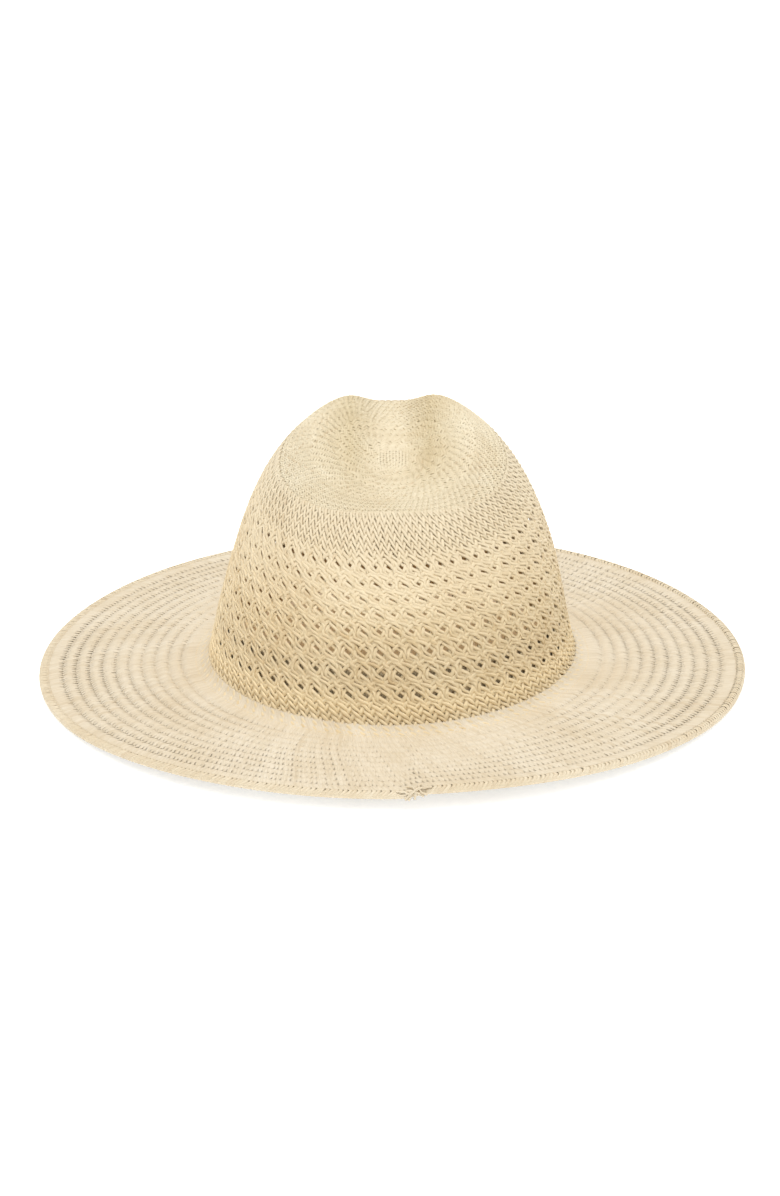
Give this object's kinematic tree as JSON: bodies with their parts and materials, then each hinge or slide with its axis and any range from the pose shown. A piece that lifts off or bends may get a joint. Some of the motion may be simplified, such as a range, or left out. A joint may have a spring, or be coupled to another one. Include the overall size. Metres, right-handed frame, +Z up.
{
  "type": "panama hat",
  "caption": "Wide-brimmed woven straw hat with a creased tip, openwork crown side, rolled brim edge and a sewn-in sweatband; shades and covers the wearer's head.",
  "frame": {"origin": "Bottom centre of the hat as it stands on its brim: z = 0 is the plane the two sides of the rolled edge rest on.", "axes": "+Z up, -Y to the front of the hat (the narrow end of the crease), +X across the hat."},
  "size_m": [0.342, 0.361, 0.1238],
  "materials": {
    "tip_straw": "fine tight straw weave, pale cream, low sheen",
    "openwork_straw": "open diagonal straw weave with small holes",
    "foot_straw": "tight twined straw rows at the bend",
    "brim_straw": "concentric twined straw rows, pale cream",
    "edge_straw": "rolled and back-woven straw edge",
    "band_ribbon": "ribbed cotton grosgrain",
    "thread": "twisted cotton thread",
    "label_cloth": "blank woven satin label"
  },
  "bodies": {
    "hat": {"crown_tip": "tip_straw", "crown_openwork": "openwork_straw", "crown_foot": "foot_straw", "brim": "brim_straw", "brim_edge": "edge_straw", "edge_knot": "edge_straw", "sweatband": "band_ribbon", "piping": "band_ribbon", "stitching": "thread", "joint_tape": "band_ribbon", "label_hem": "label_cloth"},
    "label": {"label_flap": "label_cloth"}
  },
  "joints": [
    {"name": "label_flap_fold", "type": "hinge", "parent": "hat", "child": "label", "pos_m": [0, 0.0919, 0.031], "axis": [-1, 0, 0], "range_deg": [-5, 120]}
  ]
}
